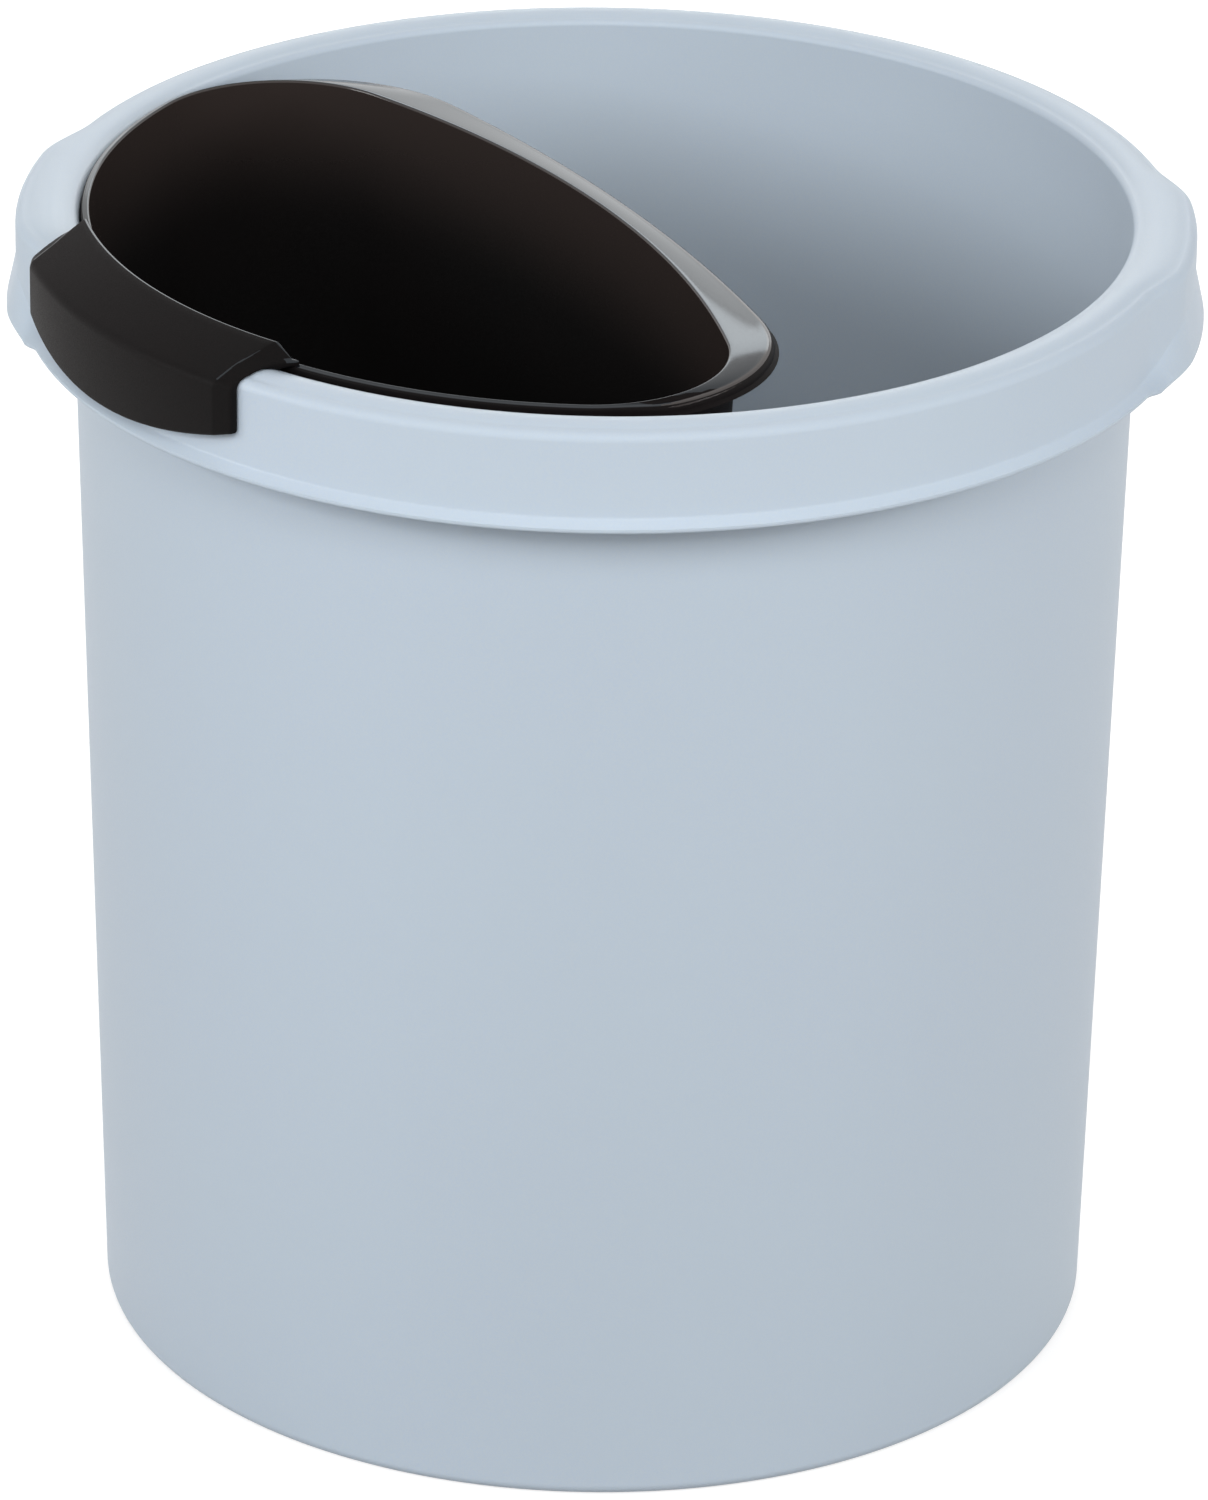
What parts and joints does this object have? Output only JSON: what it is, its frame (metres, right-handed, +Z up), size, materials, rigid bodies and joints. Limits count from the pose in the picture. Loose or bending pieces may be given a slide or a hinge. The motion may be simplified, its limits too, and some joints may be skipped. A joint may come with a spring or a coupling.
{
  "type": "waste separation insert bin",
  "caption": "Round tapered waste bin with a turned-down collar, finger grips and a hang-in basket that keeps a second kind of waste apart and hooks over the collar.",
  "frame": {"origin": "centre of the foot ring, on the floor under the bin's axis", "axes": "+Z up along the bin's axis, +X through the middle of one finger grip and -X through the other, -Y towards the side from which the picture was taken"},
  "size_m": [0.3838, 0.3736, 0.3886],
  "materials": {
    "bin_plastic": "fine satin grain, light blue-grey",
    "insert_plastic": "glossy, black"
  },
  "bodies": {
    "bin": {"bin_body": "bin_plastic"},
    "insert": {"waste_insert": "insert_plastic"}
  },
  "joints": [
    {"name": "insert_lift", "type": "slide", "parent": "bin", "child": "insert", "axis": [0, 0, 1], "range_m": [0, 0.25]}
  ]
}
